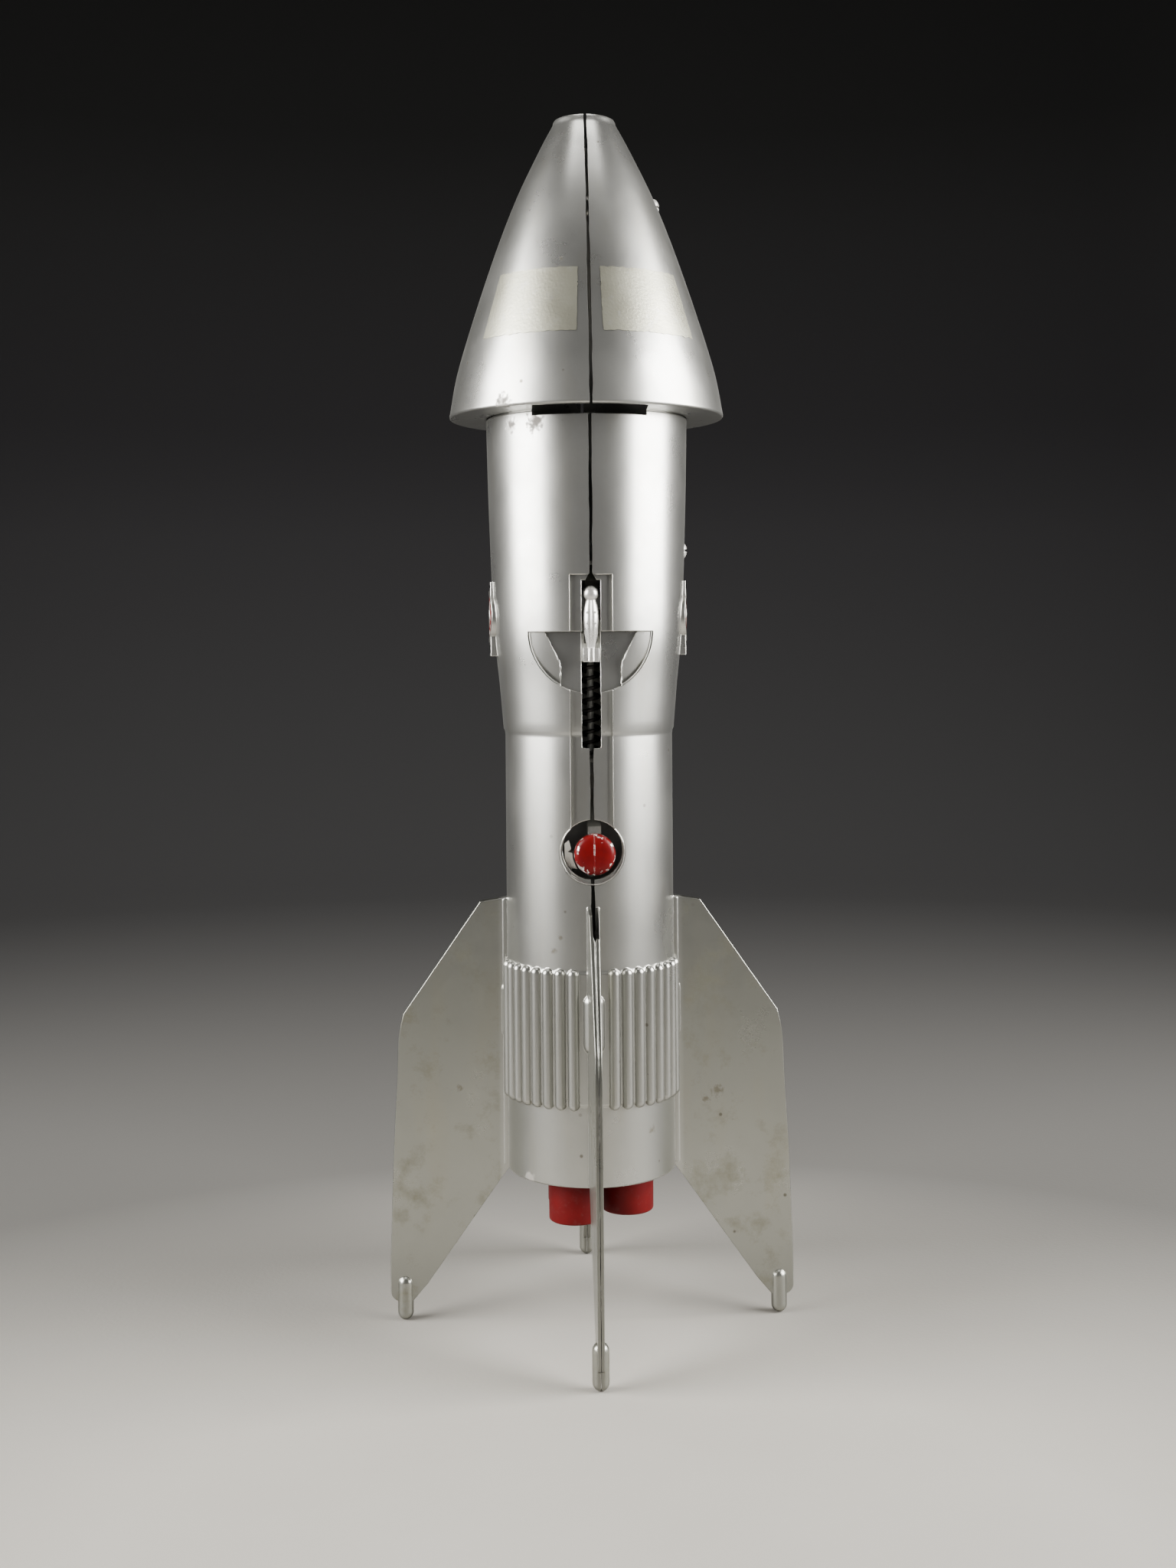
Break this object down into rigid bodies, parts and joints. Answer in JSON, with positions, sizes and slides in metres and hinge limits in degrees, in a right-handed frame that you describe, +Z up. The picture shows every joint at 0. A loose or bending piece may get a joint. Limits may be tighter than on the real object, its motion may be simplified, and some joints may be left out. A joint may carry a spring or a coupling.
{
  "type": "mechanical rocket coin bank",
  "caption": "Die-cast space rocket coin bank on finned feet: a sprung missile throws a coin into the nose, fired by a red button; a nozzle trap empties it.",
  "frame": {"origin": "on the standing surface, under the rocket's axis", "axes": "+Z up along the rocket's axis, -Y the front with the button and the missile, +X the rocket's right side as seen from the front"},
  "size_m": [0.0944, 0.0944, 0.28],
  "materials": {
    "cast_paint": "satin aluminium paint over zinc die casting, worn through at the edges",
    "red_paint": "satin red paint, chipped at the rim",
    "red_plastic": "satin",
    "missile_metal": "semi-bright",
    "bare_casting": "bare zinc casting, dull",
    "steel": "plated, dull",
    "spring_steel": "blackened wire",
    "fibre": "matt",
    "rubber": "matt"
  },
  "bodies": {
    "case": {"nose_left_shell": "cast_paint", "nose_right_shell": "cast_paint", "body_left_shell": "cast_paint", "body_right_shell": "cast_paint", "guide_rod": "steel", "spring_seat_washer": "steel", "bumper_washer": "fibre", "launch_spring": "spring_steel", "trigger_pivot_pin": "steel", "trigger_leaf_spring": "steel", "leaf_spring_screw": "steel", "coin_guard": "steel", "guard_screw_upper": "steel", "guard_screw_lower": "steel", "nose_screw": "steel", "upper_body_screw": "steel", "lower_body_screw": "steel"},
    "launcher": {"launch_missile": "missile_metal", "launcher_carriage": "bare_casting", "carriage_pin": "steel"},
    "trigger": {"trigger_lever": "bare_casting", "release_button": "red_paint"},
    "trap": {"trap_plate": "steel", "trap_grip_ring": "rubber", "nozzle_right": "red_plastic", "nozzle_back_left": "red_plastic", "nozzle_front_left": "red_plastic"}
  },
  "joints": [
    {"name": "launcher_slide", "type": "slide", "parent": "case", "child": "launcher", "axis": [0, 0, -1], "range_m": [0, 0.012], "stiffness_N_per_m": 150, "springref_m": -0.01, "deforming": ["launch_spring"]},
    {"name": "trigger_pivot", "type": "hinge", "parent": "case", "child": "trigger", "pos_m": [0, -0.006, 0.172], "axis": [1, 0, 0], "range_deg": [-2, 2.5], "stiffness_Nm_per_rad": 1},
    {"name": "trap_slide", "type": "slide", "parent": "case", "child": "trap", "axis": [0, 0, -1], "range_m": [0, 0.016]}
  ]
}
